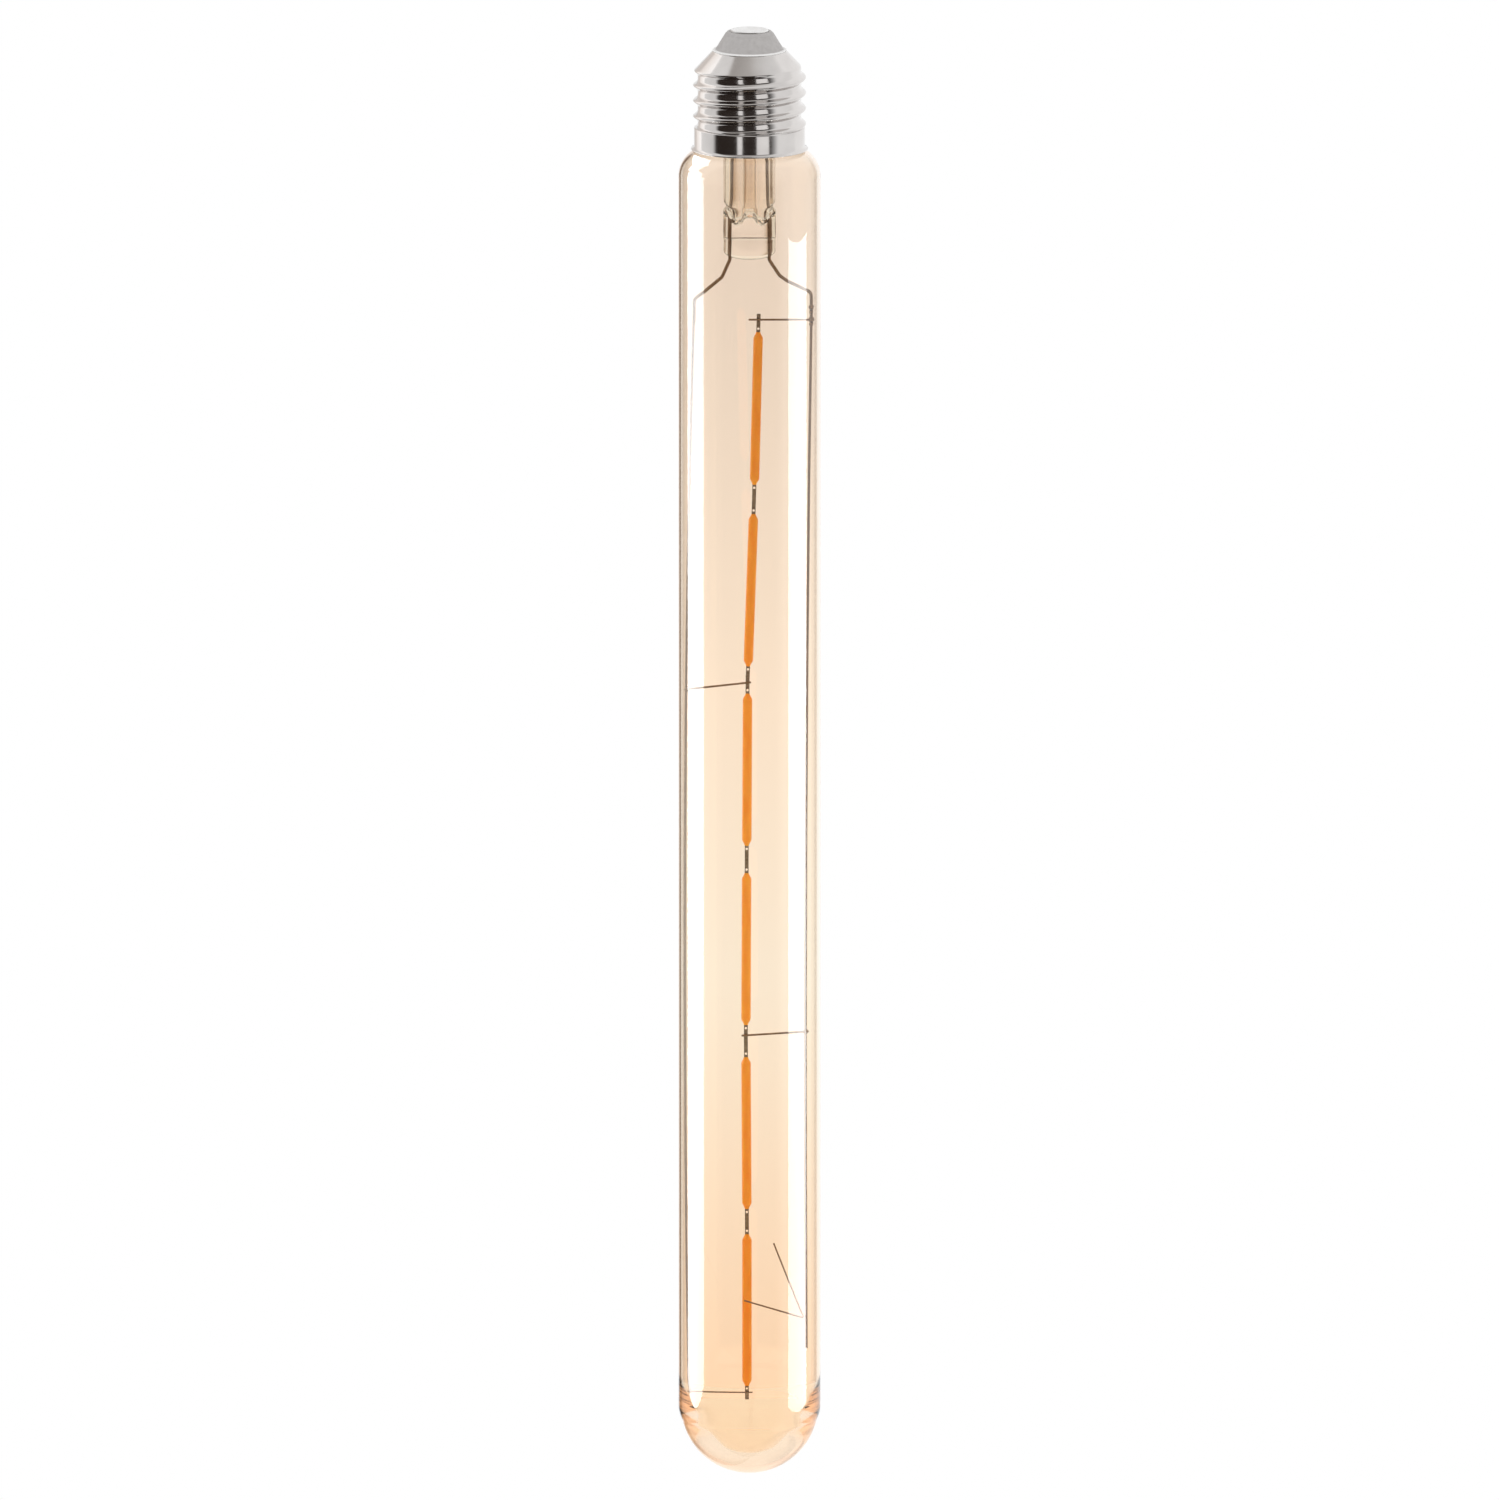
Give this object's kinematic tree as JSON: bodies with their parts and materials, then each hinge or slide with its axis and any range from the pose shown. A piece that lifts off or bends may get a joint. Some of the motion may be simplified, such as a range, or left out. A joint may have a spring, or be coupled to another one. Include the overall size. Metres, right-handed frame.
{
  "type": "led filament bulb",
  "caption": "Long tubular LED filament bulb: amber glass tube with domed end, glass stem, string of orange filaments between wire rails, and an E27 screw cap.",
  "frame": {"origin": "centre of the outer face of the centre contact", "axes": "+Z along the axis of the bulb, out of the cap, so the glass hangs towards -Z; +X to the right and -Y to the front in the picture"},
  "size_m": [0.033, 0.033, 0.3403],
  "materials": {
    "amber_glass": "clear amber-tinted glass, gloss",
    "clear_glass": "clear glass, gloss",
    "wire": "nickel-plated steel wire",
    "pin": "flat plated metal strip",
    "filament_coat": "orange silicone with phosphor, satin",
    "cap_metal": "nickel-plated sheet with fine turned lines",
    "contact_metal": "nickel-plated disc, satin",
    "insulator": "pale grey-white, matte",
    "cement": "matte capping cement",
    "board": "white solder mask",
    "chip": "moulded black package",
    "resistor": "dark film on ceramic",
    "fuse": "green lacquer on ceramic"
  },
  "bodies": {
    "root": {"glass_envelope": "amber_glass", "stem": "clear_glass", "exhaust_tube": "clear_glass", "lead_in_left": "wire", "lead_in_right": "wire", "rail_left": "wire", "rail_right": "wire", "cross_wire_1": "wire", "cross_wire_2": "wire", "cross_wire_3": "wire", "cross_wire_4": "wire", "spring_support": "wire", "filament_1": "filament_coat", "filament_1_top_pin": "pin", "filament_1_bottom_pin": "pin", "filament_2": "filament_coat", "filament_2_top_pin": "pin", "filament_2_bottom_pin": "pin", "filament_3": "filament_coat", "filament_3_top_pin": "pin", "filament_3_bottom_pin": "pin", "filament_4": "filament_coat", "filament_4_top_pin": "pin", "filament_4_bottom_pin": "pin", "filament_5": "filament_coat", "filament_5_top_pin": "pin", "filament_5_bottom_pin": "pin", "filament_6": "filament_coat", "filament_6_top_pin": "pin", "filament_6_bottom_pin": "pin", "cap_shell": "cap_metal", "cap_insulator": "insulator", "centre_contact": "contact_metal", "cap_cement": "cement", "driver_board": "board", "bridge_rectifier": "chip", "driver_chip": "chip", "chip_resistor_1": "resistor", "chip_resistor_2": "resistor", "fuse_resistor": "fuse", "side_lead": "wire"}
  },
  "joints": []
}
